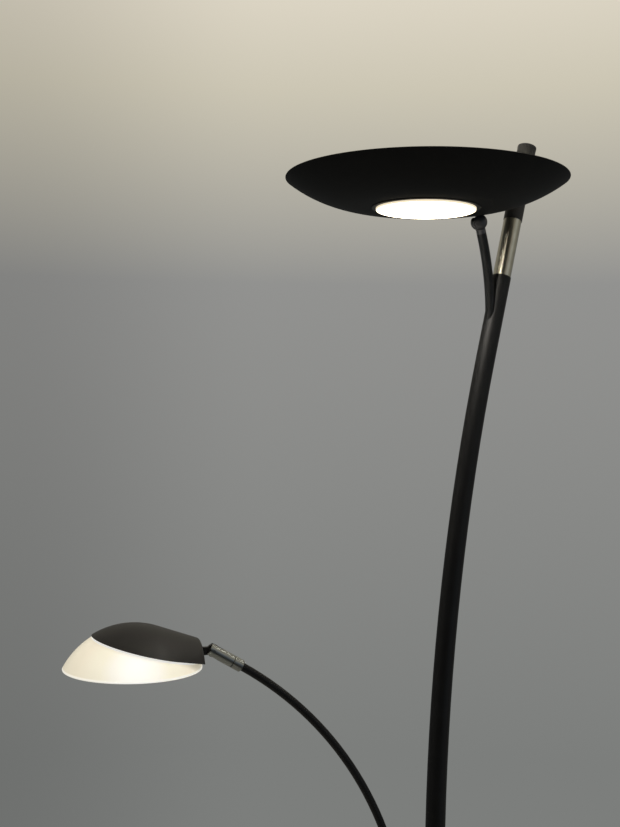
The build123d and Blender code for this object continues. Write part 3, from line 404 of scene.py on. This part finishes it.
camera_azimuth = math.radians(44.0)
towards_camera = (math.sin(camera_azimuth), -math.cos(camera_azimuth), 0.0)


def floor_disc(radius):
    """A flat disc: (r cos u, r sin u, 0), for the distance r from the middle and the angle u."""
    rings, round_steps = 12, 96
    turns = np.linspace(0, 2 * np.pi, round_steps + 1)[:-1]
    reach, turn = np.meshgrid(np.linspace(1 * mm, radius, rings), turns, indexing="ij")
    points = np.stack([reach * np.cos(turn), reach * np.sin(turn), 0 * reach], axis=-1)
    return surface("studio_floor", points, closed_v=True)


floor_radius, fade_start, fade_end = 2.6, 1.1, 2.5
floor = floor_disc(floor_radius)
floor_material, tree, shader, place = new_material(
    "studio_floor_pale", Base_Color=linear("#b9b9b6"), Roughness=0.8, Specular_IOR_Level=0.2
)
# the floor thins out towards its edge, so that it ends in the backdrop without a line
fade = to_range(tree, distance(tree, place, (0.0, 0.0, 0.0)), 1.0, 0.0, fade_start, fade_end, "SMOOTHSTEP")
tree.links.new(fade, shader.inputs["Alpha"])
floor.data.materials.append(floor_material)

world = bpy.data.worlds.new("studio")
bpy.context.scene.world = world
world.use_nodes = True
tree = world.node_tree
tree.nodes.clear()
heading = add_node(tree, "ShaderNodeTexCoord").outputs["Generated"]
rise = add_node(tree, "ShaderNodeSeparateXYZ", [("Vector", heading)]).outputs["Z"]
ray = add_node(tree, "ShaderNodeLightPath").outputs
# the wall behind the lamp: grey below, warm and bright where the bowl's light falls on it, dimmer to the left
wall_tone = colour_ramp(
    tree,
    to_range(tree, rise, 0.0, 1.0, -0.4, 0.4),
    [(0.15, "#7c7e7c"), (0.64, "#929290"), (0.84, "#ccc6b4"), (1.0, "#e8e0d0")],
)
to_right = along(tree, heading, (math.cos(camera_azimuth), math.sin(camera_azimuth), 0.0))
falloff = to_range(tree, to_right, 0.78, 1.0, -0.27, -0.03, "SMOOTHSTEP")
# reflections see that wall a fifth dimmer, and a far darker room on the camera's side of the lamp
near_side = along(tree, heading, towards_camera)
dimming = to_range(tree, near_side, 0.2, 0.88, 0.55, 0.8, "SMOOTHSTEP")
bare = calculate(tree, "SUBTRACT", 1.0, calculate(tree, "MULTIPLY", dimming, ray["Is Glossy Ray"]))
seen_strength = calculate(tree, "MULTIPLY", bare, falloff)
seen = add_node(tree, "ShaderNodeBackground", [("Color", wall_tone), ("Strength", seen_strength)]).outputs[0]
room_tone = colour_ramp(
    tree, to_range(tree, rise, 0.0, 1.0, -1.0, 1.0), [(0.0, "#7d7f80"), (0.5, "#a2a5a6"), (1.0, "#e9e0d2")]
)
room = add_node(tree, "ShaderNodeBackground", [("Color", room_tone), ("Strength", 0.95)]).outputs[0]
direct = calculate(tree, "MAXIMUM", ray["Is Camera Ray"], ray["Is Glossy Ray"])
direct = calculate(tree, "MAXIMUM", direct, ray["Is Transmission Ray"])
mixed = add_node(tree, "ShaderNodeMixShader", [("Fac", direct), (1, room), (2, seen)])
add_node(tree, "ShaderNodeOutputWorld", [("Surface", mixed.outputs[0])])


def soft_light(name, place, target, size, power, code):
    """A square area lamp at this place that faces the target."""
    lamp = bpy.data.lights.new(name, "AREA")
    lamp.size = size
    lamp.energy = power
    lamp.color = linear(code)[:3]
    thing = bpy.data.objects.new(name, lamp)
    bpy.context.scene.collection.objects.link(thing)
    thing.location = place
    thing.rotation_euler = (Vector(target) - Vector(place)).to_track_quat("-Z", "Y").to_euler()


lamp_middle = (0.0, 0.0, 1.3)
soft_light("key_light", (-1.7, -2.3, 2.8), lamp_middle, 2.4, 8.0, "#fff4e6")
soft_light("fill_light", (2.9, 0.4, 1.5), lamp_middle, 2.4, 6.0, "#cfe3ff")
soft_light("ceiling_light", (0.2, 0.3, 4.0), lamp_middle, 2.8, 20.0, "#fff1dc")

camera_data = bpy.data.cameras.new("photo_view")
camera_data.lens = 49.93
camera_data.sensor_fit = "VERTICAL"
camera_data.sensor_height = 36.0
camera_data.sensor_width = 36.0
camera_data.clip_start = 0.01
camera = bpy.data.objects.new("photo_view", camera_data)
bpy.context.scene.collection.objects.link(camera)
camera.location = (0.7027, -0.91587, 1.535)
# everything in the photograph leans by this much, which is taken as the camera's roll
camera_roll = math.radians(-0.77)
camera.rotation_euler = (math.pi / 2, camera_roll, camera_azimuth)
bpy.context.scene.camera = camera

bpy.context.scene.view_settings.view_transform = "Standard"
